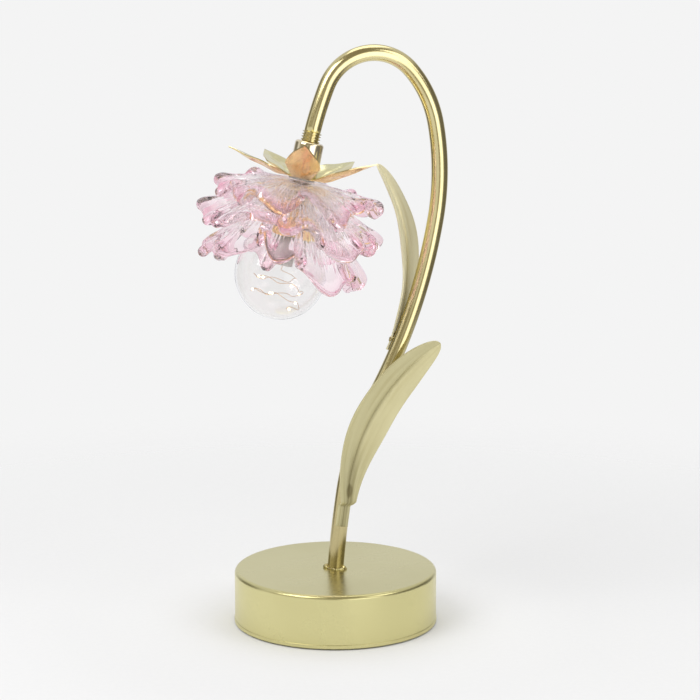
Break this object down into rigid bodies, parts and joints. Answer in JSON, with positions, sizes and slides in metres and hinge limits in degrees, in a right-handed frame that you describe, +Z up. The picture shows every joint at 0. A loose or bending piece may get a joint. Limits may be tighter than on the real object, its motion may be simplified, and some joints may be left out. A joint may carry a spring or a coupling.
{
  "type": "flower table lamp",
  "caption": "Battery table lamp: a bent metal stem on a round base hangs a glass flower, head down, over a clear globe with fairy lights inside.",
  "frame": {"origin": "centre of the base's underside, on the surface that the lamp stands on", "axes": "+Z up; the stem bends in the XZ plane and the flower hangs towards -X; -Y is the front"},
  "size_m": [0.1537, 0.125, 0.3546],
  "materials": {
    "gold_satin": "satin",
    "gold_polished": "polished",
    "ballast_iron": "matte",
    "zinc_steel": "plain",
    "black_plastic": "matte",
    "foot_rubber": "matte",
    "cell_can": "gloss jacket",
    "board_green": "gloss",
    "wire_jacket": "satin",
    "spacer_clear": "gloss",
    "soft_white": "matte",
    "pink_glass": "clear",
    "clear_glass": "clear",
    "sleeve_white": "satin",
    "string_wire": "plain",
    "light_epoxy": "gloss"
  },
  "bodies": {
    "lamp": {"base_shell": "gold_satin", "ballast_disc": "ballast_iron", "cover_standoffs": "zinc_steel", "bottom_cover": "black_plastic", "cover_screws": "zinc_steel", "foot_ring": "foot_rubber", "battery_tray": "black_plastic", "tray_screws": "zinc_steel", "battery_cells": "cell_can", "contact_plates": "zinc_steel", "contact_springs": "zinc_steel", "switch_body": "black_plastic", "switch_screws": "zinc_steel", "driver_board": "board_green", "board_screws": "zinc_steel", "battery_leads": "wire_jacket", "inner_lead": "wire_jacket", "stem_tube": "gold_satin", "lower_leaf": "gold_satin", "upper_leaf": "gold_satin", "flower_holder": "gold_polished", "threaded_nipple": "gold_polished", "sepal_plate": "gold_polished", "soft_washer": "soft_white", "petals_upper": "pink_glass", "upper_spacer": "spacer_clear", "petals_middle": "pink_glass", "middle_spacer": "spacer_clear", "petals_lower": "pink_glass", "lower_spacer": "spacer_clear", "globe_cap": "gold_polished", "cap_nut": "gold_polished", "globe_gasket": "soft_white", "glass_globe": "clear_glass", "light_sleeve": "sleeve_white", "light_string": "string_wire", "light_drops": "light_epoxy"},
    "door": {"battery_door": "black_plastic"},
    "knob": {"switch_knob": "black_plastic"}
  },
  "joints": [
    {"name": "door_hinge", "type": "hinge", "parent": "lamp", "child": "door", "pos_m": [0.02925, 0, 0.0031], "axis": [0, -1, 0], "range_deg": [0, 95]},
    {"name": "switch_slide", "type": "slide", "parent": "lamp", "child": "knob", "axis": [1, 0, 0], "range_m": [0, 0.004]}
  ]
}
